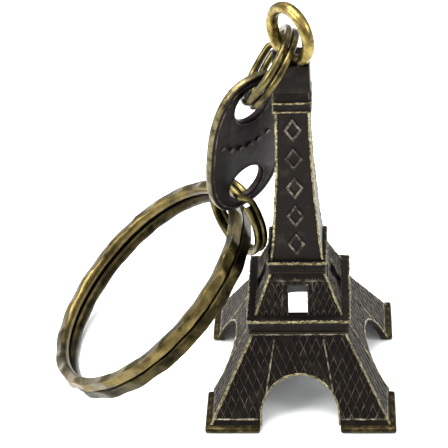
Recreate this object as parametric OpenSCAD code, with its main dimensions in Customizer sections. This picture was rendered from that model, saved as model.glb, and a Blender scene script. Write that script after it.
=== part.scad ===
// Lattice-tower charm on a chain: cast tower with an eyelet, two small double
// rings, an oval plate tag between them and a large double-turn key ring.
// Millimetres, +Z up. The origin is the middle of the tower's four feet, on
// the surface it stands on. The front face looks towards -Y and the chain
// hangs on the -X side.

/* [Base] */
// Width across the four feet
foot_span = 22; // [16:0.5:30]
// Height of a foot pad
foot_height = 0.75; // [0.5:0.05:1.2]
// How far a foot pad stands out past the wall above it
foot_lip = 0.65; // [0.2:0.05:1]
// Wall of the hollow base
base_wall = 0.8; // [0.6:0.1:2]
// Half width of the base under the lower deck
base_top_half = 5.2; // [4:0.1:8]
// Radius of the arch in each wall
arch_r = 4.4; // [2.5:0.1:5.5]
// Height of the arch's centre above the floor
arch_centre = 1.7; // [0.5:0.1:3]

/* [Levels] */
// Underside of the lower deck
lower_deck_z = 10.65; // [9:0.05:16]
// Thickness of the lower deck
lower_deck_h = 2.2; // [1:0.1:3]
// Height of the middle tier
middle_h = 4.7; // [3.8:0.1:8]
// Thickness of the upper deck
upper_deck_h = 1.75; // [1:0.05:3]
// Height of the shaft
shaft_h = 19.2; // [14:0.2:30]
// Height of the collar band
collar_h = 1.4; // [0.8:0.1:2.5]
// Height of the neck above the collar
neck_h = 1.1; // [0.5:0.1:2]
// Height of the top block
block_h = 3.15; // [2:0.05:5]

/* [Widths] */
// How far the lower deck stands out past the base
lower_deck_lip = 0.5; // [0.2:0.05:1]
// Half width of the middle tier at its foot
middle_foot_half = 4.9; // [4.2:0.1:5.2]
// Half width of the middle tier under the upper deck
middle_top_half = 3.05; // [2.9:0.05:4]
// Wall of the middle tier
middle_wall = 0.5; // [0.4:0.1:1.2]
// Width of the window in each side of the middle tier
window_w = 2.2; // [1:0.1:3]
// Height of the window
window_h = 3.3; // [1:0.1:3.6]
// How far the upper deck stands out past the middle tier
upper_deck_lip = 0.1; // [0.05:0.05:1]
// Flare of both decks from underside to top
deck_flare = 0.15; // [0:0.05:0.5]
// Half width of the shaft at its foot
shaft_foot_half = 2.84; // [2.2:0.02:3]
// Half width of the shaft under the collar
shaft_top_half = 1.74; // [1.2:0.02:2]
// Half width of the collar band
collar_half = 2; // [1.8:0.05:2.4]
// Half width of the neck
neck_half = 1.82; // [1.4:0.02:1.9]
// Half width of the top block
block_half = 1.92; // [1.6:0.02:2.2]

/* [Ornament] */
// How far the raised ornament stands proud
relief = 0.14; // [0.08:0.01:0.3]
// Number of lozenges down the front of the shaft
lozenge_count = 5; // [3:1:6]
// Width of a lozenge
lozenge_w = 1.9; // [1:0.1:2.2]
// Width of a lozenge's raised line
lozenge_line = 0.2; // [0.15:0.01:0.4]
// Radius of the largest dot on the tag
dot_r = 0.42; // [0.2:0.02:0.6]

/* [Eyelet] */
// Inner radius of the eyelet
eye_hole_r = 2.24; // [1.9:0.02:3]
// Thickness of the eyelet
eye_wire = 1.26; // [1:0.02:1.8]
// Turn of the eyelet about the tower's axis
eye_turn = -49; // [-60:1:-30]
// How far the eyelet's centre line sinks into the block
eye_sink = 0.14; // [0:0.02:0.4]

/* [Small rings] */
// Radius of a small ring at its wire's centre
ring_r = 4.4; // [4:0.05:5.5]
// Wire of a small ring
ring_wire = 0.82; // [0.6:0.02:1]

// Angle left open at a small ring's free ends
ring_end_gap = 24; // [15:1:40]

/* [Tag] */
// Length of the tag
tag_length = 18.8; // [17:0.1:24]
// Width of the tag
tag_width = 10.8; // [9:0.1:14]
// Thickness of the tag
tag_thickness = 0.9; // [0.6:0.05:1.4]
// Radius of the hole near each end
tag_hole_r = 2.25; // [1.8:0.05:3]
// Plate left between a hole and the tag's end
tag_rim = 1.37; // [0.8:0.01:2.2]

/* [Key ring] */
// Radius of the key ring at its wire's centre
key_r = 14.22; // [12:0.1:18]
// Wire of the key ring
key_wire = 1.64; // [1.2:0.02:2]

// Angle left open at the key ring's free ends
key_end_gap = 14; // [10:1:30]

/* [Play] */
// Space between the two turns of a ring
turn_gap = 0.02; // [0.01:0.01:0.1]
// Rounding cut at the edges of the tag's holes
hole_chamfer = 0.25; // [0.1:0.05:0.4]

/* [Hidden] */
$fn = 64;

foot_half = foot_span / 2;
base_foot_half = foot_half - foot_lip;
lower_deck_top = lower_deck_z + lower_deck_h;
upper_deck_z = lower_deck_top + middle_h;
shaft_z = upper_deck_z + upper_deck_h;
collar_z = shaft_z + shaft_h;
neck_z = collar_z + collar_h;
block_z = neck_z + neck_h;
block_top = block_z + block_h;
eye_r = eye_hole_r + eye_wire / 2;
eye_centre = [0, 0, block_top + eye_r - eye_sink];
window_z = lower_deck_top + 0.05;
deck_hole_half = min(base_top_half - base_wall, middle_foot_half - middle_wall);

// The shaft's sides are slightly hollow: share of the height, share of the taper.
shaft_curve = [[0, 0], [0.14, 0.26], [0.35, 0.52], [0.56, 0.78], [0.77, 0.92], [1, 1]];
shaft_side = [for (p = shaft_curve)
    [shaft_foot_half + (shaft_top_half - shaft_foot_half) * p[1], shaft_z + shaft_h * p[0]]];

// Directions of a ring whose axis points to azimuth az and elevation el.
function down_of(az, el) = [sin(el) * cos(az), sin(el) * sin(az), -cos(el)];
function side_of(az) = [-sin(az), cos(az), 0];
function rim_dir(az, el, a) = cos(a) * down_of(az, el) + sin(a) * side_of(az);

// Upper small ring, through the eyelet.
upper_az = -5.3;
upper_el = -33.2;
upper_from = -168;
upper_seat = eye_hole_r - 1.5 * ring_wire;
upper_centre = eye_centre + [0, 0, -upper_seat] - ring_r * rim_dir(upper_az, upper_el, upper_from);

// Tag, hung on the upper ring by its top hole. It leans out further where the
// lower ring would come down as far as the lower deck.
tag_yaw = 42;
hang_bottom = eye_centre[2] - upper_seat - 3.65 * ring_r - (tag_length - 2 * tag_rim - tag_hole_r) - ring_wire / 2;
tag_tilt = 9.4 + 1.5 * max(0, lower_deck_top + 2.4 - hang_bottom);
tag_across = [cos(tag_yaw), sin(tag_yaw), 0];
tag_up = [sin(tag_yaw) * sin(tag_tilt), -cos(tag_yaw) * sin(tag_tilt), cos(tag_tilt)];
hole_offset = tag_length / 2 - tag_rim - tag_hole_r;
upper_to = -7;
top_seat = tag_hole_r - 1.7 * ring_wire;
top_cross = upper_centre + ring_r * rim_dir(upper_az, upper_el, upper_to);
tag_centre = top_cross + 0.39 * top_seat * tag_across - (hole_offset + 0.92 * top_seat) * tag_up;

// Lower small ring, through the tag's bottom hole.
lower_az = 38.5;
lower_el = 3.7;
lower_from = -167;
lower_to = -8;
bottom_seat = tag_hole_r - 0.99 * ring_wire;
bottom_cross = tag_centre - 0.42 * bottom_seat * tag_across - (hole_offset + 0.92 * bottom_seat) * tag_up;
lower_centre = bottom_cross - ring_r * rim_dir(lower_az, lower_el, lower_from);

// Key ring, through the lower ring, with its far side resting on the floor.
key_az = 1;
key_drop = 1.52;
key_seat = ring_r - ring_wire / 2 - key_drop * key_wire;
key_cross = lower_centre + key_seat * rim_dir(lower_az, lower_el, lower_to);
key_turn_pitch = key_wire + turn_gap;
key_reach = sqrt(pow(2 * key_r, 2) + pow(key_turn_pitch / 2, 2));
key_lean = acos((key_cross[2] - key_wire / 2) / key_reach) + atan2(key_turn_pitch / 2, 2 * key_r);
key_el = -key_lean;
key_centre = key_cross - key_r * rim_dir(key_az, key_el, 180);

module square_tier(side) {
    // side: [half width, z] points from the bottom up
    n = len(side);
    outline = concat(side, [for (i = [n - 1 : -1 : 0]) [-side[i][0], side[i][1]]]);
    depth = 2 * max([for (p = side) p[0]]) + 2;
    intersection() {
        rotate([90, 0, 0]) linear_extrude(depth, center = true) polygon(outline);
        rotate([90, 0, 90]) linear_extrude(depth, center = true) polygon(outline);
    }
}

module both_ways() {
    children();
    rotate([0, 0, 90]) children();
}

module feet() {
    pad_in = foot_half - base_wall - foot_lip;
    color("darkgoldenrod")
    difference() {
        translate([-foot_half, -foot_half, 0]) cube([foot_span, foot_span, foot_height]);
        translate([-pad_in, -pad_in, -1]) cube([2 * pad_in, 2 * pad_in, foot_height + 2]);
        both_ways()
            translate([-arch_r, -foot_half - 1, -1]) cube([2 * arch_r, foot_span + 2, foot_height + 2]);
    }
}

module base_tier() {
    color("dimgray")
    difference() {
        square_tier([[base_foot_half, foot_height], [base_top_half, lower_deck_z]]);
        square_tier([[base_foot_half - base_wall + 0.01, foot_height - 0.02],
                     [base_top_half - base_wall, lower_deck_z], [base_top_half - base_wall, lower_deck_z + 1]]);
        both_ways() {
            translate([0, 0, arch_centre]) rotate([90, 0, 0]) cylinder(h = foot_span + 2, r = arch_r, center = true);
            translate([-arch_r, -foot_half - 1, foot_height - 1])
                cube([2 * arch_r, foot_span + 2, arch_centre - foot_height + 1]);
        }
    }
}

module lower_deck() {
    half = base_top_half + lower_deck_lip;
    // open in the middle, so that the base and the middle tier are one hollow
    color("dimgray")
    difference() {
        square_tier([[half, lower_deck_z], [half + deck_flare, lower_deck_top]]);
        translate([-deck_hole_half, -deck_hole_half, lower_deck_z - 1])
            cube([2 * deck_hole_half, 2 * deck_hole_half, lower_deck_h + 2]);
    }
}

module middle_tier() {
    color("dimgray")
    difference() {
        square_tier([[middle_foot_half, lower_deck_top], [middle_top_half, upper_deck_z]]);
        square_tier([[middle_foot_half - middle_wall, lower_deck_top - 0.01],
                     [middle_top_half - middle_wall, upper_deck_z - middle_wall]]);
        both_ways()
            translate([-window_w / 2, -foot_half, window_z]) cube([window_w, foot_span, window_h]);
    }
}

module upper_deck() {
    half = middle_top_half + upper_deck_lip;
    color("dimgray")
    square_tier([[half, upper_deck_z], [half + deck_flare, shaft_z]]);
}

module shaft() {
    color("dimgray") square_tier(shaft_side);
}

module lozenge(w, h) {
    polygon([[0, -h / 2], [w / 2, 0], [0, h / 2], [-w / 2, 0]]);
}

module shaft_lozenges() {
    pitch = shaft_h / (lozenge_count + 0.2);
    height = 0.78 * pitch;
    color("darkgoldenrod")
    difference() {
        intersection() {
            square_tier([for (p = shaft_side) [p[0] + relief, p[1]]]);
            for (i = [0 : lozenge_count - 1])
                translate([0, 0, shaft_z + pitch * (i + 0.6)])
                    rotate([90, 0, 0]) linear_extrude(shaft_foot_half + 1) difference() {
                        lozenge(lozenge_w, height);
                        lozenge(lozenge_w - 3 * lozenge_line, height - 4.4 * lozenge_line);
                    }
        }
        shaft();
    }
}

module collar() {
    color("dimgray") {
        translate([-collar_half, -collar_half, collar_z]) cube([2 * collar_half, 2 * collar_half, collar_h]);
        translate([-neck_half, -neck_half, neck_z]) cube([2 * neck_half, 2 * neck_half, neck_h]);
    }
}

module top_block() {
    color("dimgray")
    square_tier([[block_half + 0.08, block_z], [block_half, block_top]]);
}

module eyelet() {
    color("darkgoldenrod")
    intersection() {
        translate(eye_centre) rotate([90, 0, eye_turn]) rotate_extrude() translate([eye_r, 0]) circle(d = eye_wire);
        translate([-foot_half, -foot_half, block_top]) cube([foot_span, foot_span, 4 * eye_r]);
    }
}

// Wire wound twice round. A short bridge joins the end of one turn to the start
// of the next, and each turn's free end stops short of it.
module double_ring(r, wire, end_gap) {
    pitch = wire + turn_gap;
    past = 2 + asin(wire / 2 / r);
    rotate([0, 0, end_gap]) translate([0, 0, -pitch / 2])
        rotate_extrude(angle = 360 - end_gap + past) translate([r, 0]) circle(d = wire);
    rotate([0, 0, -past]) translate([0, 0, pitch / 2])
        rotate_extrude(angle = 360 - end_gap + past) translate([r, 0]) circle(d = wire);
    translate([r, 0, -pitch / 2]) cylinder(h = pitch, d = 0.8 * wire);
}

module on_axis(c, az, el) {
    translate(c) rotate([0, 90 - el, az]) children();
}

module upper_ring() {
    color("goldenrod") on_axis(upper_centre, upper_az, upper_el)
        rotate([0, 0, 90]) double_ring(ring_r, ring_wire, ring_end_gap);
}

module tag_frame() {
    translate(tag_centre) rotate([tag_tilt, 0, tag_yaw]) children();
}

// Oval between an ellipse and a rectangle.
function oval(hw, hl, power = 2.5, n = 96) = [for (i = [0 : n - 1])
    let (a = 360 * i / n, c = cos(a), s = sin(a))
    [hw * sign(c) * pow(abs(c), 2 / power), hl * sign(s) * pow(abs(s), 2 / power)]];

module tag() {
    color("darkolivegreen") tag_frame()
    rotate([90, 0, 0]) difference() {
        linear_extrude(tag_thickness, center = true) polygon(oval(tag_width / 2, tag_length / 2));
        for (s = [-1, 1]) translate([0, s * hole_offset, 0]) {
            cylinder(h = tag_thickness + 1, r = tag_hole_r, center = true);
            for (m = [0, 1]) mirror([0, 0, m])
                translate([0, 0, tag_thickness / 2 - hole_chamfer])
                    cylinder(h = hole_chamfer + 0.1, r1 = tag_hole_r, r2 = tag_hole_r + hole_chamfer + 0.1);
        }
    }
}

module tag_dots() {
    color("darkgoldenrod") tag_frame() translate([0, -tag_thickness / 2, 0]) rotate([90, 0, 0])
        for (i = [-3 : 3])
            translate([i * tag_width / 8.6, 0.03 * i * i * tag_width / 2, 0])
                cylinder(h = relief, r = dot_r * (1 - 0.13 * abs(i)));
}

module lower_ring() {
    color("goldenrod") on_axis(lower_centre, lower_az, lower_el)
        rotate([0, 0, -150]) double_ring(ring_r, ring_wire, ring_end_gap);
}

module key_ring() {
    color("goldenrod") on_axis(key_centre, key_az, key_el)
        rotate([0, 0, 156]) double_ring(key_r, key_wire, key_end_gap);
}

feet();
base_tier();
lower_deck();
middle_tier();
upper_deck();
shaft();
shaft_lozenges();
collar();
top_block();
eyelet();
upper_ring();
tag();
tag_dots();
lower_ring();
key_ring();
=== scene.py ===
# A keychain: a small cast lattice tower, two wound jump rings, an oval tag and a split key ring.
# Pieces are modelled in millimetres and brought to metres when they are put in place.
import math
import bpy
from mathutils import Matrix, Vector, noise


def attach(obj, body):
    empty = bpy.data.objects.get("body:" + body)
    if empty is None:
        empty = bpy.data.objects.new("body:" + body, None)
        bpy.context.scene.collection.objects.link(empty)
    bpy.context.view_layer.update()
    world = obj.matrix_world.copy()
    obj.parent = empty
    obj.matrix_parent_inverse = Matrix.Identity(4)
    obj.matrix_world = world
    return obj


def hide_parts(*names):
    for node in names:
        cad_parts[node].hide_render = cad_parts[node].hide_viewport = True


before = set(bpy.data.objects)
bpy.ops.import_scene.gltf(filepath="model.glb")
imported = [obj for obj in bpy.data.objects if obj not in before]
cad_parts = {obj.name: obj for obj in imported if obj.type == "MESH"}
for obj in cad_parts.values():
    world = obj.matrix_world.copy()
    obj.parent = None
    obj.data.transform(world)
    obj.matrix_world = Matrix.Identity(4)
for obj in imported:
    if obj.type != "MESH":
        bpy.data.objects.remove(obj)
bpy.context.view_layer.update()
print("frame loaded:", len(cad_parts), "CAD nodes")


def only(piece):
    if bpy.context.object and bpy.context.object.mode != "OBJECT":
        bpy.ops.object.mode_set(mode="OBJECT")
    bpy.ops.object.select_all(action="DESELECT")
    if piece:
        piece.select_set(True)
        bpy.context.view_layer.objects.active = piece
    return piece


def settle(piece):  # the object's turn and place go into its mesh
    only(piece)
    bpy.ops.object.transform_apply(location=True, rotation=True, scale=True)
    return piece


def useModifier(piece, kind, **settings):
    only(piece)
    bpy.ops.object.modifier_add(type=kind)
    modifier = piece.modifiers[-1]
    for name, value in settings.items():
        setattr(modifier, name, value)
    bpy.ops.object.modifier_apply(modifier=modifier.name)
    return piece


def joinAll(pieces, name):
    only(pieces[0])
    for piece in pieces:
        piece.select_set(True)
    if len(pieces) > 1:
        bpy.ops.object.join()
    pieces[0].name = pieces[0].data.name = name
    return pieces[0]


def copyOf(piece, place=None):
    only(piece)
    bpy.ops.object.duplicate(linked=False)
    twin = bpy.context.object
    if place:
        twin.data.transform(place)
    return twin


def onFourSides(piece, name):
    turns = [Matrix.Rotation(math.radians(90 * k), 4, "Z") for k in (1, 2, 3)]
    return joinAll([piece] + [copyOf(piece, turn) for turn in turns], name)


def roughen(piece, amount, seed):  # cast roughness that is large enough to see
    only(piece)
    bpy.ops.object.mode_set(mode="EDIT")
    bpy.ops.mesh.select_all(action="SELECT")
    bpy.ops.transform.vertex_random(offset=amount, uniform=0.4, normal=0.6, seed=seed)
    bpy.ops.object.mode_set(mode="OBJECT")
    return piece


def pitByPlace(piece, amount, perMillimetre, seed):
    # cast roughness taken from where a point is, so the order of the points doesn't matter
    noise.seed_set(seed)    # without this the noise starts from the clock
    for v in piece.data.vertices:
        v.co += noise.noise_vector(v.co * perMillimetre) * amount
    return piece


def finishPiece(piece, body, material, smoothAngle=35, replaced=()):
    piece.data.transform(Matrix.Scale(0.001, 4))  # millimetres to metres
    piece.data.materials.clear()
    for one in (material if isinstance(material, list) else [material]):
        piece.data.materials.append(one)
    only(piece)
    bpy.ops.object.shade_smooth_by_angle(angle=math.radians(smoothAngle))
    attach(piece, body)
    if replaced:
        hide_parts(*replaced)
    return piece


# The tower's walls, as half widths at heights
def halfAt(profile, z):
    if z <= profile[0][0]:
        return profile[0][1]
    for (z0, h0), (z1, h1) in zip(profile, profile[1:]):
        if z <= z1:
            return h0 + (h1 - h0) * (z - z0) / (z1 - z0)
    return profile[-1][1]


def leanOnFront(piece, profile, proud=0.0):  # from the middle plane out to the front wall
    for v in piece.data.vertices:
        v.co.y -= halfAt(profile, v.co.z) + proud
    return piece


def leanOnCorner(piece, profile, proud=0.0):  # from the axis out to the front left corner
    for v in piece.data.vertices:
        half = halfAt(profile, v.co.z) + proud
        v.co.x -= half
        v.co.y -= half
    return piece


def beadAlong(name, points, radius, step=0.3, sides=2, rough=0.0, seed=1):
    # a raised line of metal through the points, in short lengths so that it can be rough
    path = [Vector(points[0])]
    for start, end in zip(points, points[1:]):
        start, end = Vector(start), Vector(end)
        count = max(1, round((end - start).length / step))
        path += [start.lerp(end, k / count) for k in range(1, count + 1)]
    only(None)
    bpy.ops.curve.primitive_nurbs_path_add()
    bead = bpy.context.object
    bead.data.splines.clear()
    spline = bead.data.splines.new("POLY")
    spline.points.add(len(path) - 1)
    for point, place in zip(spline.points, path):
        point.co = (*place, 1)
    bead.data.bevel_depth = radius
    bead.data.bevel_resolution = sides
    bead.data.use_fill_caps = True
    bpy.ops.object.convert(target="MESH")
    bead = bpy.context.object
    bead.name = name
    if rough:
        roughen(bead, rough, seed)
    return bead


def cornerRidges(name, wall, bottom, top, radii, rough, seed):
    # the rubbed edges up the four corners, the front left one first
    ridges = []
    for k, radius in enumerate(radii):
        ridge = beadAlong(name, [(0, 0, bottom), (0, 0, top)], radius, step=0.18, rough=rough,
                          seed=seed + k)
        leanOnCorner(ridge, wall, -0.3 * radius)
        ridge.data.transform(Matrix.Rotation(math.radians(90 * k), 4, "Z"))
        ridges.append(ridge)
    return joinAll(ridges, name)


def steppedTier(name, steps, bevel=0.06):
    # a square block built upwards: each step is (height, half width)
    only(None)
    z0, half0 = steps[0]
    bpy.ops.mesh.primitive_plane_add(size=2 * half0, location=(0, 0, z0))
    tier = settle(bpy.context.object)
    bpy.ops.object.mode_set(mode="EDIT")
    bpy.ops.mesh.select_all(action="SELECT")
    for (za, ha), (zb, hb) in zip(steps, steps[1:]):
        bpy.ops.mesh.extrude_region_move(TRANSFORM_OT_translate={"value": (0, 0, zb - za)})
        bpy.ops.transform.resize(value=(hb / ha, hb / ha, 1), center_override=(0, 0, zb))
    bpy.ops.mesh.select_all(action="SELECT")
    bpy.ops.mesh.normals_make_consistent(inside=False)
    bpy.ops.object.mode_set(mode="OBJECT")
    tier.name = name
    if bevel:
        useModifier(tier, "BEVEL", width=bevel, segments=2, limit_method="ANGLE",
                    angle_limit=math.radians(20))
    return tier


def hexToLinear(code):
    channels = [int(code[k:k + 2], 16) / 255 for k in (1, 3, 5)]
    return tuple(c / 12.92 if c <= 0.04045 else ((c + 0.055) / 1.055) ** 2.4 for c in channels) + (1.0,)


def addNode(tree, kind, settings=None, links=None):
    node = tree.nodes.new(kind)
    for name, value in (settings or {}).items():
        if isinstance(name, int) or name in node.inputs:
            node.inputs[name].default_value = value
        else:
            setattr(node, name, value)
    for name, source in (links or {}).items():
        tree.links.new(source, node.inputs[name])
    return node


def antiquePlating(name, look):
    # Antique plating: a dark patina over brass, left in the hollows and rubbed off the edges; on the wound
    # rings the dark between the turns is painted shade.
    # patch is the size of the patina's patches and grain that of the cast skin, both in mm.
    material = bpy.data.materials.new(name)
    material.use_nodes = True
    tree = material.node_tree
    tree.nodes.clear()
    place = addNode(tree, "ShaderNodeTexCoord").outputs["Object"]
    patches = addNode(tree, "ShaderNodeTexNoise",
                      {"Scale": 1000 / look["patch"], "Detail": 5.0, "Roughness": 0.62}, {"Vector": place})
    grain = addNode(tree, "ShaderNodeTexNoise",
                    {"Scale": 1000 / look["grain"], "Detail": 3.0, "Roughness": 0.6}, {"Vector": place})
    # rubbed edges: the rounded normal leaves the flat one only close to an edge
    rounded = addNode(tree, "ShaderNodeBevel", {"samples": 6, "Radius": look["edge"] * 0.001})
    flat = addNode(tree, "ShaderNodeNewGeometry")
    facing = addNode(tree, "ShaderNodeVectorMath", {"operation": "DOT_PRODUCT"},
                     {0: rounded.outputs["Normal"], 1: flat.outputs["Normal"]})
    edge = addNode(tree, "ShaderNodeMapRange",
                   {"From Min": 0.995, "From Max": 0.90, "To Min": 0.0, "To Max": 1.0},
                   {"Value": facing.outputs["Value"]})
    # the casting keeps dark patina in its hollows; between the turns of the wound rings this darkening is
    # painted shade
    hollow = addNode(tree, "ShaderNodeAmbientOcclusion", {"samples": 6, "Distance": look["hollow"] * 0.001})
    openness = addNode(tree, "ShaderNodeMapRange", {"From Min": 0.35, "From Max": 0.95},
                       {"Value": hollow.outputs["AO"]})
    patchy = addNode(tree, "ShaderNodeMapRange",
                     {"From Min": look["wearFrom"], "From Max": look["wearTo"]},
                     {"Value": patches.outputs["Fac"]})
    edgeWear = addNode(tree, "ShaderNodeMath", {"operation": "MULTIPLY", 1: look["edgeWear"]},
                       {0: edge.outputs["Result"]})
    flatWear = addNode(tree, "ShaderNodeMath",
                       {"operation": "MULTIPLY_ADD", 1: look["flatWear"], "use_clamp": True},
                       {0: patchy.outputs["Result"], 2: edgeWear.outputs["Value"]})
    wear = addNode(tree, "ShaderNodeMath", {"operation": "MULTIPLY", "use_clamp": True},
                   {0: flatWear.outputs["Value"], 1: openness.outputs["Result"]})
    metal = addNode(tree, "ShaderNodeMix", {"data_type": "RGBA", 6: hexToLinear(look["dark"]),
                                            7: hexToLinear(look["worn"])}, {0: wear.outputs["Value"]})
    gloss = addNode(tree, "ShaderNodeMapRange",
                    {"From Min": 0.25, "From Max": 0.75, "To Min": look["rough"][0],
                     "To Max": look["rough"][1]},
                    {"Value": grain.outputs["Fac"]})
    relief = addNode(tree, "ShaderNodeBump", {"Strength": look["bump"], "Distance": look["grain"] * 0.0003},
                     {"Height": grain.outputs["Fac"]})
    dents = addNode(tree, "ShaderNodeBump",
                    {"Strength": look["bump"] * 0.8, "Distance": look["patch"] * 0.00012},
                    {"Height": patches.outputs["Fac"], "Normal": relief.outputs["Normal"]})
    shader = addNode(tree, "ShaderNodeBsdfPrincipled", {"Metallic": look["metallic"]},
                     {"Base Color": metal.outputs[2], "Roughness": gloss.outputs["Result"],
                      "Normal": dents.outputs["Normal"]})
    addNode(tree, "ShaderNodeOutputMaterial", {}, {"Surface": shader.outputs["BSDF"]})
    return material


# Zinc casting with antique bronze plating: nearly black, slightly brown, soft sheen, brassy edges
castBronze = antiquePlating("castBronze", {
    "dark": "#171311", "worn": "#524c3b", "patch": 1.6, "grain": 0.16, "edge": 0.16, "hollow": 0.5,
    "wearFrom": 0.52, "wearTo": 0.80, "edgeWear": 0.5, "flatWear": 0.22,
    "rough": (0.36, 0.58), "bump": 0.5, "metallic": 0.92})
# The same casting where pockets and bags rub it: rough beads of bright brass with dark pits
rubbedBead = antiquePlating("rubbedBead", {
    "dark": "#2a2416", "worn": "#a99e78", "patch": 0.35, "grain": 0.1, "edge": 0.2, "hollow": 0.25,
    "wearFrom": 0.38, "wearTo": 0.66, "edgeWear": 0.25, "flatWear": 0.95,
    "rough": (0.26, 0.46), "bump": 0.8, "metallic": 1.0})
# Thin raised lines: rubbed only in places, so they come and go
rubbedLine = antiquePlating("rubbedLine", {
    "dark": "#1f1b18", "worn": "#857c6e", "patch": 0.8, "grain": 0.12, "edge": 0.1, "hollow": 0.12,
    "wearFrom": 0.46, "wearTo": 0.78, "edgeWear": 0.15, "flatWear": 0.85,
    "rough": (0.34, 0.52), "bump": 0.4, "metallic": 0.95})
# Ribs and the line under the deck: narrow and rubbed nearly along their whole length
rubbedRib = antiquePlating("rubbedRib", {
    "dark": "#2c2721", "worn": "#a89e86", "patch": 0.7, "grain": 0.11, "edge": 0.1, "hollow": 0.1,
    "wearFrom": 0.38, "wearTo": 0.66, "edgeWear": 0.15, "flatWear": 0.9,
    "rough": (0.32, 0.5), "bump": 0.4, "metallic": 0.95})
# The feet are scuffed brass, olive and dull except along their top edges
footBrass = antiquePlating("footBrass", {
    "dark": "#1f1a0f", "worn": "#83774a", "patch": 0.7, "grain": 0.12, "edge": 0.22, "hollow": 0.4,
    "wearFrom": 0.46, "wearTo": 0.78, "edgeWear": 0.8, "flatWear": 0.45,
    "rough": (0.3, 0.5), "bump": 0.5, "metallic": 1.0})
# The tag's cut edge: brass showing through in a narrow band
tagEdge = antiquePlating("tagEdge", {
    "dark": "#2a2417", "worn": "#857b57", "patch": 1.2, "grain": 0.1, "edge": 0.12, "hollow": 0.3,
    "wearFrom": 0.34, "wearTo": 0.66, "edgeWear": 0.5, "flatWear": 0.8,
    "rough": (0.28, 0.44), "bump": 0.3, "metallic": 1.0})
# Drawn wire with antique brass plating: smoother and brassier than the casting
platedWire = antiquePlating("platedWire", {
    "dark": "#221c12", "worn": "#73683f", "patch": 1.5, "grain": 0.09, "edge": 0.1, "hollow": 0.55,
    "wearFrom": 0.30, "wearTo": 0.66, "edgeWear": 0.1, "flatWear": 0.95,
    "rough": (0.24, 0.38), "bump": 0.25, "metallic": 1.0})
# Hammered wire of the key ring: brassy on the flats, with painted shade black between the turns
hammeredWire = antiquePlating("hammeredWire", {
    "dark": "#1b160d", "worn": "#7a6b40", "patch": 2.2, "grain": 0.14, "edge": 0.25, "hollow": 0.9,
    "wearFrom": 0.30, "wearTo": 0.66, "edgeWear": 0.5, "flatWear": 0.85,
    "rough": (0.24, 0.42), "bump": 0.6, "metallic": 1.0})
# The key ring's under turn: a darker copy of the hammered wire, painted shade on the ring's lower side
hammeredShadedTurn = antiquePlating("hammeredShadedTurn", {
    "dark": "#14110b", "worn": "#4d4428", "patch": 2.0, "grain": 0.14, "edge": 0.25, "hollow": 0.9,
    "wearFrom": 0.36, "wearTo": 0.72, "edgeWear": 0.6, "flatWear": 0.8,
    "rough": (0.28, 0.46), "bump": 0.6, "metallic": 1.0})
# The eyelet is handled most: yellow brass with small pits
handledBrass = antiquePlating("handledBrass", {
    "dark": "#33290f", "worn": "#94824a", "patch": 0.9, "grain": 0.12, "edge": 0.15, "hollow": 0.8,
    "wearFrom": 0.30, "wearTo": 0.62, "edgeWear": 0.2, "flatWear": 1.0,
    "rough": (0.22, 0.40), "bump": 0.4, "metallic": 1.0})
# Flat cast plate, almost black, rubbed at its rim
tagBlack = antiquePlating("tagBlack", {
    "dark": "#1c1716", "worn": "#544a3c", "patch": 2.4, "grain": 0.15, "edge": 0.18, "hollow": 0.4,
    "wearFrom": 0.55, "wearTo": 0.85, "edgeWear": 0.5, "flatWear": 0.3,
    "rough": (0.38, 0.56), "bump": 0.35, "metallic": 0.9})
print("finishes ready")

base = {
    "profile": [(0.75, 10.35), (10.65, 5.2)],       # height, half width of the wall
    "arch": (4.4, 1.7),                              # radius, height of its centre
    "rim": 0.11, "ridge": (0.18, 0.12, 0.14, 0.13), "rib": 0.09, "footLine": 0.07,
    "ribs": [(2.8, 9.9), (3.85, 4.1)],               # from the deck down to the arch
    "latticeCell": (0.98, 2.0), "latticeLine": 0.13, # a diamond's width and height, and its line
    "footEdge": (4.8, 9.85, 1.42),                   # from, to, height of the line over a foot
    "deckEdge": (5.2, 10.45, 0.12),                  # half length, height, radius of the line
    "foot": (11.0, 4.62, 0.75, 1.45),                # outside, end of an arm, height, width
}


def latticeOn(name, profile, cell, line, bottom, top, cutters):
    # a square grid turned on its corner, drawn out to diamonds, cut to the wall and leant on it
    widest, tall = halfAt(profile, bottom), top - bottom
    count = math.ceil(2 * widest / cell[0] + tall / cell[1]) + 1
    only(None)
    bpy.ops.mesh.primitive_grid_add(x_subdivisions=count, y_subdivisions=count, size=count)
    net = bpy.context.object
    net.rotation_euler = (0, 0, math.radians(45))
    settle(net)
    net.scale = (cell[0] / math.sqrt(2), cell[1] / math.sqrt(2), 1)
    settle(net)
    net.rotation_euler = (math.radians(90), 0, 0)
    net.location = (0, 0, (bottom + top) / 2)
    settle(net)
    bpy.ops.object.mode_set(mode="EDIT")
    bpy.ops.mesh.select_all(action="DESELECT")
    bpy.ops.object.mode_set(mode="OBJECT")
    for face in net.data.polygons:
        x, z = face.center.x, face.center.z
        face.select = z < bottom - cell[1] or z > top + cell[1] or abs(x) > halfAt(profile, z) + cell[0]
    bpy.ops.object.mode_set(mode="EDIT")
    bpy.ops.mesh.select_mode(type="FACE")
    bpy.ops.mesh.delete(type="FACE")
    bpy.ops.object.mode_set(mode="OBJECT")
    useModifier(net, "WIREFRAME", thickness=line, use_even_offset=False, use_replace=True,
                use_boundary=True)
    # the wall's outline as a slab, less its openings
    only(None)
    bpy.ops.mesh.primitive_cube_add(size=1)
    slab = bpy.context.object
    for v in slab.data.vertices:
        z = top if v.co.z > 0 else bottom
        v.co = (math.copysign(halfAt(profile, z) - 0.1, v.co.x), 1.5 * v.co.y, z)
    for cutter in cutters:
        useModifier(slab, "BOOLEAN", operation="DIFFERENCE", object=cutter, solver="EXACT")
    useModifier(net, "BOOLEAN", operation="INTERSECT", object=slab, solver="EXACT")
    bpy.data.objects.remove(slab)
    net.name = name
    return leanOnFront(net, profile, proud=0.03)


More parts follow.
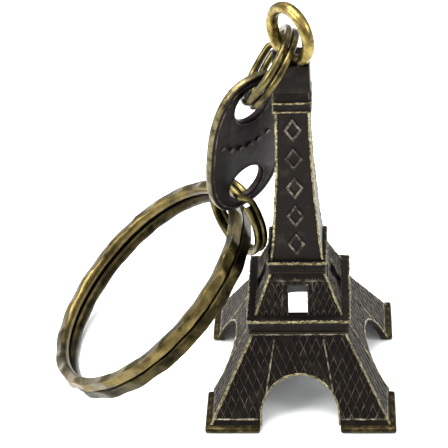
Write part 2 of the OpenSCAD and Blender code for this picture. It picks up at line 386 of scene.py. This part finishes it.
def archCutter(radius, z):
    only(None)
    bpy.ops.mesh.primitive_cylinder_add(vertices=64, radius=radius, depth=6, location=(0, 0, z),
                                        rotation=(math.radians(90), 0, 0))
    arch = settle(bpy.context.object)
    bpy.ops.mesh.primitive_cube_add(size=1, location=(0, 0, z - 5), scale=(2 * radius, 6, 10))
    legs = settle(bpy.context.object)
    useModifier(arch, "BOOLEAN", operation="UNION", object=legs, solver="EXACT")
    bpy.data.objects.remove(legs)
    return arch


def buildBase():
    wall, (archR, archZ) = base["profile"], base["arch"]
    arch = archCutter(archR + 0.2, archZ)
    net = latticeOn("baseLattice", wall, base["latticeCell"], base["latticeLine"], 1.55, 10.35, [arch])
    bpy.data.objects.remove(arch)
    finishPiece(onFourSides(net, "baseLattice"), "tower", rubbedLine, 20)

    rimR = archR + 0.12  # outside the opening, so that it does not narrow it
    rim = [(rimR * math.cos(a), 0, archZ + rimR * math.sin(a))
           for a in [math.pi * k / 40 for k in range(41)]]
    rim = [(rimR, 0, 0.8)] + rim + [(-rimR, 0, 0.8)]
    rim = leanOnFront(beadAlong("archRim", rim, base["rim"], rough=0.03, seed=3), wall, -0.02)
    ribs = []
    for side in (-1, 1):
        line = [(side * x, 0, z) for x, z in base["ribs"]]
        ribs.append(leanOnFront(beadAlong("rib", line, base["rib"], rough=0.02, seed=5 + side), wall, 0.05))
        near, far, level = base["footEdge"]
        foot = [(side * near, 0, level), (side * far, 0, level)]
        ribs.append(leanOnFront(beadAlong("footLine", foot, base["footLine"], rough=0.02, seed=8), wall))
    half, level, radius = base["deckEdge"]
    deckLine = beadAlong("deckLine", [(-half, 0, level), (half, 0, level)], radius, rough=0.02, seed=9)
    leanOnFront(deckLine, wall)
    finishPiece(onFourSides(joinAll([rim], "archRims"), "archRims"), "tower", rubbedBead, 50)
    finishPiece(onFourSides(joinAll(ribs + [deckLine], "baseRibs"), "baseRibs"), "tower", rubbedRib,
                50)

    ridges = cornerRidges("baseRidges", wall, 0.9, 10.6, base["ridge"], 0.05, 11)
    finishPiece(ridges, "tower", rubbedBead, 60)

    outer, end, height, width = base["foot"]
    arms = []
    for along in (0, 1):
        only(None)
        bpy.ops.mesh.primitive_cube_add(size=1)
        arm = bpy.context.object
        arm.scale = (outer - end, width, height) if along == 0 else (width, outer - end, height)
        arm.location = (-(outer + end) / 2, -outer + width / 2, height / 2) if along == 0 else \
            (-outer + width / 2, -(outer + end) / 2, height / 2)
        settle(arm)
        useModifier(arm, "BEVEL", width=0.3, segments=4)
        arms.append(arm)
    useModifier(arms[0], "BOOLEAN", operation="UNION", object=arms[1], solver="EXACT")
    bpy.data.objects.remove(arms[1])
    finishPiece(onFourSides(arms[0], "footBeads"), "tower", footBrass, 40, ["feet"])
    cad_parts["base_tier"].data.materials.clear()
    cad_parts["base_tier"].data.materials.append(castBronze)


buildBase()
print("base done")

decks = {
    # height, half width: ledge line, groove, plain fascia, lip, top
    "lower": [(10.65, 5.3), (10.7, 5.62), (10.95, 5.66), (11.02, 5.45), (11.4, 5.48), (11.5, 5.68),
              (12.35, 5.74), (12.55, 5.80), (12.78, 5.78), (12.85, 5.5)],
    "upper": [(17.55, 3.05), (17.6, 3.16), (17.8, 3.18), (17.86, 3.05), (18.15, 3.06), (18.22, 3.17),
              (18.9, 3.22), (19.05, 3.27), (19.25, 3.25), (19.3, 3.05)],
    "bead": 0.18, "beadRough": 0.05, "hole": 4.4,
}
middle = {
    "profile": [(12.85, 4.9), (17.55, 3.05)],
    "window": (1.1, 12.9, 16.2),                     # half width, bottom, top
    "windowRib": [(1.85, 12.9), (1.65, 16.6)],       # beside the window: half width and height
    "windowEdge": [(1.16, 12.9), (1.12, 16.3)], "edge": 0.08,
    "lintel": (1.2, 16.3, 0.1), "lintelTop": (3.2, 16.75, 0.12),  # half length, height, radius
    "ridge": (0.15, 0.13, 0.14, 0.13), "rib": 0.08, "latticeCell": (0.72, 1.5), "latticeLine": 0.12,
}


def buildDeck(name, node, steps, beadZ, seed, hole=None):
    tier = steppedTier(name, steps, 0.05)
    if hole:  # the tower is hollow, so light comes through from below
        only(None)
        bpy.ops.mesh.primitive_cube_add(size=1, location=(0, 0, beadZ), scale=(2 * hole, 2 * hole, 8))
        well = settle(bpy.context.object)
        useModifier(tier, "BOOLEAN", operation="DIFFERENCE", object=well, solver="EXACT")
        bpy.data.objects.remove(well)
    finishPiece(tier, "tower", castBronze, 30, [node])
    half = max(h for z, h in steps) - 0.04
    bead = beadAlong(name + "Bead", [(-half, 0, beadZ), (half, 0, beadZ)], decks["bead"], step=0.18,
                     rough=decks["beadRough"], seed=seed)
    for v in bead.data.vertices:
        v.co.y -= half - 0.06
    finishPiece(onFourSides(bead, name + "Bead"), "tower", rubbedBead, 60)


def buildMiddle():
    wall, (half, low, high) = middle["profile"], middle["window"]
    only(None)
    bpy.ops.mesh.primitive_cube_add(size=1, location=(0, 0, (low + high) / 2),
                                    scale=(2 * half + 0.5, 6, high - low + 0.5))
    window = settle(bpy.context.object)
    net = latticeOn("middleLattice", wall, middle["latticeCell"], middle["latticeLine"], 12.95, 17.1,
                    [window])
    bpy.data.objects.remove(window)
    finishPiece(onFourSides(net, "middleLattice"), "tower", rubbedLine, 20)
    lines = []
    for side in (-1, 1):
        rib = [(side * x, 0, z) for x, z in middle["windowRib"]]
        edge = [(side * x, 0, z) for x, z in middle["windowEdge"]]
        lines.append(beadAlong("windowRib", rib, middle["rib"], rough=0.02, seed=21 + side))
        lines.append(beadAlong("windowEdge", edge, middle["edge"], rough=0.015, seed=24 + side))
    for name, seed in (("lintel", 27), ("lintelTop", 28)):
        reach, level, radius = middle[name]
        lines.append(beadAlong(name, [(-reach, 0, level), (reach, 0, level)], radius, rough=0.02,
                               seed=seed))
    lines = [leanOnFront(line, wall) for line in lines]
    finishPiece(onFourSides(joinAll(lines, "middleLines"), "middleLines"), "tower", rubbedLine,
                50)
    ridges = cornerRidges("middleRidges", wall, 12.95, 17.5, middle["ridge"], 0.045, 31)
    finishPiece(ridges, "tower", rubbedBead, 60)
    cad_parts["middle_tier"].data.materials.clear()
    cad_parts["middle_tier"].data.materials.append(castBronze)


buildDeck("lowerDeck", "lower_deck", decks["lower"], 12.62, 41, decks["hole"])
buildDeck("upperDeck", "upper_deck", decks["upper"], 19.1, 43)
buildMiddle()
print("decks and middle tier done")

shaft = {
    "profile": [(19.3, 2.84), (21.99, 2.554), (26.02, 2.268), (30.05, 1.982), (34.08, 1.828), (38.5, 1.74)],
    "ridge": (0.15, 0.13, 0.14, 0.13), "ridgeRough": 0.05,
}
top = {
    "collar": [(38.5, 1.8), (38.52, 1.98), (38.78, 2.0), (38.84, 1.92), (39.5, 1.92), (39.58, 2.0),
               (39.86, 1.98),
               (39.9, 1.82), (41.0, 1.80)],
    "block": [(41.0, 1.95), (41.05, 2.0), (44.1, 1.92), (44.15, 1.86)],
    "edge": 0.11, "edgeLevels": (38.64, 39.74), "edgeHalf": 1.99,  # the rubbed lines round the collar
    "foot": (2.15, 1.3, 44.1, 44.56),                # half length, width, from, to
}
eyelet = {"centre": (0, 0, 46.88), "radius": 2.87, "wire": 1.26, "turn": -49, "sides": 14,
          "rough": 0.025, "pits": 2.7, "seed": 61}


def buildShaft():
    wall = shaft["profile"]
    ridges = cornerRidges("shaftRidges", wall, 19.35, 38.5, shaft["ridge"], shaft["ridgeRough"], 51)
    finishPiece(ridges, "tower", rubbedBead, 60)
    for node, finish in (("shaft", castBronze), ("shaft_lozenges", rubbedLine)):
        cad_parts[node].data.materials.clear()
        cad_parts[node].data.materials.append(finish)


def buildTop():
    finishPiece(steppedTier("collarBand", top["collar"], 0.06), "tower", castBronze,
                30, ["collar"])
    edges = []
    half = top["edgeHalf"]
    for z, seed in zip(top["edgeLevels"], (55, 57)):
        edge = beadAlong("collarEdge", [(-half, 0, z), (half, 0, z)], top["edge"], step=0.18,
                         rough=0.04, seed=seed)
        edge.data.transform(Matrix.Translation((0, 0.03 - half, 0)))
        edges.append(edge)
    finishPiece(onFourSides(joinAll(edges, "collarEdges"), "collarEdges"), "tower", rubbedBead,
                60)
    block = steppedTier("topBlock", top["block"], 0.09)
    half, width, low, high = top["foot"]
    only(None)
    bpy.ops.mesh.primitive_cube_add(size=1, location=(0, 0, (low + high) / 2),
                                    scale=(2 * half, width, high - low))
    pad = settle(bpy.context.object)
    for v in pad.data.vertices:
        if v.co.z > (low + high) / 2:
            v.co.x *= 0.82
    pad.data.transform(Matrix.Rotation(math.radians(eyelet["turn"]), 4, "Z"))
    useModifier(pad, "BEVEL", width=0.08, segments=2)
    finishPiece(joinAll([block, pad], "topBlock"), "tower", castBronze, 30, ["top_block"])

    only(None)
    bpy.ops.mesh.primitive_circle_add(vertices=eyelet["sides"], radius=eyelet["wire"] / 2, fill_type="NGON",
                                      location=(eyelet["radius"], 0, 0), rotation=(math.radians(90), 0, 0))
    loop = settle(bpy.context.object)
    bpy.ops.object.mode_set(mode="EDIT")
    bpy.ops.mesh.select_all(action="SELECT")
    bpy.ops.mesh.delete(type="ONLY_FACE")
    bpy.ops.mesh.select_all(action="SELECT")
    bpy.ops.mesh.spin(steps=72, angle=math.tau, center=(0, 0, 0), axis=(0, 0, 1))
    bpy.ops.mesh.select_all(action="SELECT")
    bpy.ops.mesh.remove_doubles(threshold=0.01)
    bpy.ops.mesh.normals_make_consistent(inside=False)
    bpy.ops.object.mode_set(mode="OBJECT")
    for v in loop.data.vertices:  # cast, so its cross-section is a little square
        around = Vector((v.co.x, v.co.y)).length - eyelet["radius"]
        if abs(around) < 0.5 * eyelet["wire"] * 0.93:
            v.co.z *= 1.06
    loop.rotation_euler = (math.radians(90), 0, math.radians(eyelet["turn"]))
    loop.location = eyelet["centre"]
    settle(loop)
    bpy.ops.object.mode_set(mode="EDIT")
    bpy.ops.mesh.select_all(action="SELECT")
    bpy.ops.mesh.bisect(plane_co=(0, 0, 44.13), plane_no=(0, 0, 1), clear_inner=True, use_fill=True)
    bpy.ops.object.mode_set(mode="OBJECT")
    pitByPlace(loop, eyelet["rough"], eyelet["pits"], eyelet["seed"])
    loop.name = "eyeletLoop"
    finishPiece(loop, "tower", handledBrass, 60, ["eyelet"])


buildShaft()
buildTop()
print("shaft and top done")

rings = {
    # centre, azimuth and elevation of the axis, turn of the crossing, radius, wire, half angle of the crossing
    "upperRing": dict(node="upper_ring", centre=(-2.26205, 1.12858, 42.2687), az=-5.3, el=-33.2, turn=90,
                      radius=4.4, wire=0.82, cross=9, gap=11, steps=60, sides=14, hammer=None),
    "lowerRing": dict(node="lower_ring", centre=(-6.78713, 3.24085, 20.849), az=38.5, el=3.7, turn=-150,
                      radius=4.4, wire=0.82, cross=9, gap=11, steps=60, sides=14, hammer=None),
    "keyRing": dict(node="key_ring", centre=(-17.6292, 2.94452, 10.4172), az=1, el=-50.9826, turn=156,
                    radius=14.22, wire=1.64, cross=5, gap=6.5, steps=150, sides=18,
                    hammer=dict(pitch=18, depth=0.42, top=0.27)),
}


def windRing(name, ring):
    pitch = ring["wire"] + 0.02
    only(None)
    bpy.ops.mesh.primitive_circle_add(vertices=ring["sides"], radius=ring["wire"] / 2, fill_type="NGON",
                                      location=(ring["radius"], 0, -pitch / 2),
                                      rotation=(math.radians(90), 0, 0))
    coil = settle(bpy.context.object)
    coil.data.transform(Matrix.Rotation(math.radians(ring["gap"]), 4, "Z"))
    turn = 360 - ring["gap"] - ring["cross"]
    bpy.ops.object.mode_set(mode="EDIT")
    bpy.ops.mesh.select_mode(type="FACE")
    bpy.ops.mesh.select_all(action="SELECT")
    spinOn = dict(center=(0, 0, 0), axis=(0, 0, -1))  # this way round, the angles grow
    bpy.ops.mesh.spin(steps=ring["steps"], angle=math.radians(turn), **spinOn)
    rise = 0.0
    for k in range(1, 13):  # the wire steps up from one turn to the next
        bpy.ops.mesh.spin(steps=1, angle=math.radians(ring["cross"] / 6), **spinOn)
        target = pitch * (0.5 - 0.5 * math.cos(math.pi * k / 12))
        bpy.ops.transform.translate(value=(0, 0, target - rise))
        rise = target
    bpy.ops.mesh.spin(steps=ring["steps"], angle=math.radians(turn), **spinOn)
    bpy.ops.mesh.select_all(action="SELECT")
    bpy.ops.mesh.normals_make_consistent(inside=False)
    bpy.ops.object.mode_set(mode="OBJECT")
    if ring["hammer"]:
        hammerFlats(coil, ring)
    coil.data.transform(Matrix.Rotation(math.radians(ring["turn"]), 4, "Z"))
    coil.data.transform(Matrix.Rotation(math.radians(90 - ring["el"]), 4, "Y"))
    coil.data.transform(Matrix.Rotation(math.radians(ring["az"]), 4, "Z"))
    coil.data.transform(Matrix.Translation(ring["centre"]))
    coil.name = coil.data.name = name
    return coil


def hammerFlats(coil, ring):
    # a hammer flattens the wire every few millimetres, outside and on its faces
    hammer, wire = ring["hammer"], ring["wire"] / 2
    for v in coil.data.vertices:
        angle = math.degrees(math.atan2(v.co.y, v.co.x))
        side = 1 if v.co.z > 0 else -1
        out = Vector((v.co.x, v.co.y)).length - ring["radius"]
        wobble = 3.0 * math.sin(math.radians(angle * 3 + 40 * side)) + 2.0 * math.sin(math.radians(angle * 7))
        place = ((angle + wobble + 5 * side) / hammer["pitch"]) % 1 * 2 - 1
        limit = wire - hammer["depth"] * (1 - place ** 2) ** 0.7
        place2 = ((angle - wobble + 8) / hammer["pitch"]) % 1 * 2 - 1
        limitTop = wire - hammer["top"] * (1 - place2 ** 2) ** 0.7
        centreZ = side * (wire + 0.01)
        z = (v.co.z - centreZ) * side
        newOut = min(out, limit)
        newZ = min(z, limitTop)
        scale = (ring["radius"] + newOut) / (ring["radius"] + out)
        v.co.x *= scale
        v.co.y *= scale
        v.co.z = centreZ + side * newZ


for name, ring in rings.items():
    coil = windRing(name, ring)
    finish, slotName = ([hammeredWire, hammeredShadedTurn], "key_ring_wire") if name == "keyRing" else \
        (platedWire, "ring_wire")
    az, el = math.radians(ring["az"]), math.radians(ring["el"])
    axis = Vector((math.cos(el) * math.cos(az), math.cos(el) * math.sin(az), math.sin(el)))
    # faces on the ring's lower side take the darker copy of the wire: painted shade
    under = [int((face.center - Vector(ring["centre"])).dot(axis) > 0) for face in coil.data.polygons]
    finishPiece(coil, ring["node"], finish, 40, [ring["node"]])
    if name == "keyRing":
        for face, index in zip(coil.data.polygons, under):
            face.material_index = index
print("rings wound")

tag = {
    "centre": (-5.16233, 1.83605, 32.135), "yaw": 42, "tilt": 9.4,
    "half": (5.4, 9.4), "power": 2.5, "thickness": 0.9, "hole": 2.25, "holeOffset": 5.78, "bevel": 0.25,
    "rimInset": 0.55, "rimLine": 0.07, "holeLine": 0.05, "holeLineOut": 0.24, "edgeFrom": 0.93,
}


def buildTag():
    only(None)
    bpy.ops.mesh.primitive_circle_add(vertices=120, radius=1, fill_type="NGON")
    plate = bpy.context.object
    for v in plate.data.vertices:
        c, s = v.co.x, v.co.y
        v.co.x = tag["half"][0] * math.copysign(abs(c) ** (2 / tag["power"]), c)
        v.co.y = tag["half"][1] * math.copysign(abs(s) ** (2 / tag["power"]), s)
        v.co.z = -tag["thickness"] / 2
    bpy.ops.object.mode_set(mode="EDIT")
    bpy.ops.mesh.select_all(action="SELECT")
    bpy.ops.mesh.extrude_region_move(TRANSFORM_OT_translate={"value": (0, 0, tag["thickness"])})
    bpy.ops.mesh.select_all(action="SELECT")
    bpy.ops.mesh.normals_make_consistent(inside=False)
    bpy.ops.object.mode_set(mode="OBJECT")
    for side in (-1, 1):
        only(None)
        bpy.ops.mesh.primitive_cylinder_add(vertices=64, radius=tag["hole"], depth=4,
                                            location=(0, side * tag["holeOffset"], 0))
        drill = settle(bpy.context.object)
        useModifier(plate, "BOOLEAN", operation="DIFFERENCE", object=drill, solver="EXACT")
        bpy.data.objects.remove(drill)
    useModifier(plate, "BEVEL", width=tag["bevel"], segments=3, limit_method="ANGLE",
                angle_limit=math.radians(60))
    # the cut edge is bright, the faces are dark
    for face in plate.data.polygons:
        x, y = face.center.x / tag["half"][0], face.center.y / tag["half"][1]
        rimSide = (abs(x) ** tag["power"] + abs(y) ** tag["power"]) > tag["edgeFrom"]
        face.material_index = 1 if rimSide and abs(face.normal.z) < 0.9 else 0
    # a thin line inside the rim and one round each hole, on both faces
    around = [math.tau * k / 96 for k in range(97)]
    wideHalf, longHalf = (half - tag["rimInset"] for half in tag["half"])
    bent = [(math.copysign(abs(math.cos(a)) ** (2 / tag["power"]), math.cos(a)) * wideHalf,
             math.copysign(abs(math.sin(a)) ** (2 / tag["power"]), math.sin(a)) * longHalf) for a in around]
    lines = []
    for face in (-1, 1):
        z = face * tag["thickness"] / 2
        lines.append(beadAlong("rimLine", [(x, y, z) for x, y in bent], tag["rimLine"], rough=0.012,
                               seed=71))
        for side in (-1, 1):
            wide = tag["hole"] + tag["holeLineOut"]
            loop = [(wide * math.cos(a), side * tag["holeOffset"] + wide * math.sin(a), z) for a in around]
            lines.append(beadAlong("holeLine", loop, tag["holeLine"], rough=0.01, seed=73))
    lines = joinAll(lines, "tagLines")
    place = Matrix.Translation(tag["centre"]) @ Matrix.Rotation(math.radians(tag["yaw"]), 4, "Z") @ \
        Matrix.Rotation(math.radians(90 + tag["tilt"]), 4, "X")
    plate.data.transform(place)
    lines.data.transform(place)
    finishPiece(lines, "tag", rubbedLine, 50)
    plate.name = plate.data.name = "tagPlate"
    indices = [face.material_index for face in plate.data.polygons]
    finishPiece(plate, "tag", [tagBlack, tagEdge], 40, ["tag"])
    for face, index in zip(plate.data.polygons, indices):
        face.material_index = index
    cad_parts["tag_dots"].data.materials.clear()
    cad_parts["tag_dots"].data.materials.append(rubbedLine)


buildTag()
print("tag done")

studio = {
    "floor": "#f4f6f6", "horizon": 0.22, "ceiling": 1.2,
    "lights": [  # name, place, aimed at, size, watts
        ("topBox", (-0.10, 0.06, 0.45), (0, 0, 0.02), 0.35, 4.2),
        ("leftBox", (-0.35, -0.15, 0.25), (0, 0, 0.02), 0.20, 1.6),
        ("rightBox", (0.30, -0.10, 0.22), (0, 0, 0.02), 0.12, 0.6),
    ],
}


def buildStudio():
    only(None)
    bpy.ops.mesh.primitive_plane_add(size=6, location=(0, 0, 0))
    floor = settle(bpy.context.object)
    floor.name = "floor"
    paper = bpy.data.materials.new("whitePaper")  # matt white paper
    paper.use_nodes = True
    shader = paper.node_tree.nodes["Principled BSDF"]
    shader.inputs["Base Color"].default_value = hexToLinear(studio["floor"])
    shader.inputs["Roughness"].default_value = 0.9
    shader.inputs["Specular IOR Level"].default_value = 0.1
    floor.data.materials.append(paper)
    world = bpy.data.worlds.new("softWhite")
    bpy.context.scene.world = world
    world.use_nodes = True
    background = world.node_tree.nodes["Background"]
    background.inputs["Color"].default_value = (1, 1, 1, 1)
    # a dim room with a bright ceiling: the metal shows dark and light bands
    height = addNode(world.node_tree, "ShaderNodeSeparateXYZ", {}, {
        0: addNode(world.node_tree, "ShaderNodeTexCoord").outputs["Generated"]})
    glow = addNode(world.node_tree, "ShaderNodeMapRange", {
        "From Min": 0.0, "From Max": 0.75, "To Min": studio["horizon"], "To Max": studio["ceiling"]},
        {"Value": height.outputs["Z"]})
    world.node_tree.links.new(glow.outputs["Result"], background.inputs["Strength"])
    for name, place, target, size, watts in studio["lights"]:
        only(None)
        bpy.ops.object.light_add(type="AREA", location=place)
        light = bpy.context.object
        light.name = name
        light.data.shape = "DISK"
        light.data.size = size
        light.data.energy = watts
        light.rotation_euler = (Vector(target) - Vector(place)).to_track_quat("-Z", "Y").to_euler()
    only(None)
    bpy.ops.object.camera_add(location=(0.005365, -0.131906, 0.128600),
                              rotation=[math.radians(a) for a in (51.20, 3.33, 3.16)])
    camera = bpy.context.object
    camera.data.lens, camera.data.sensor_width = 122.2, 36
    camera.data.clip_start, camera.data.clip_end = 0.005, 10
    bpy.context.scene.camera = camera
    bpy.context.scene.view_settings.view_transform = "Standard"


buildStudio()
print("studio ready")
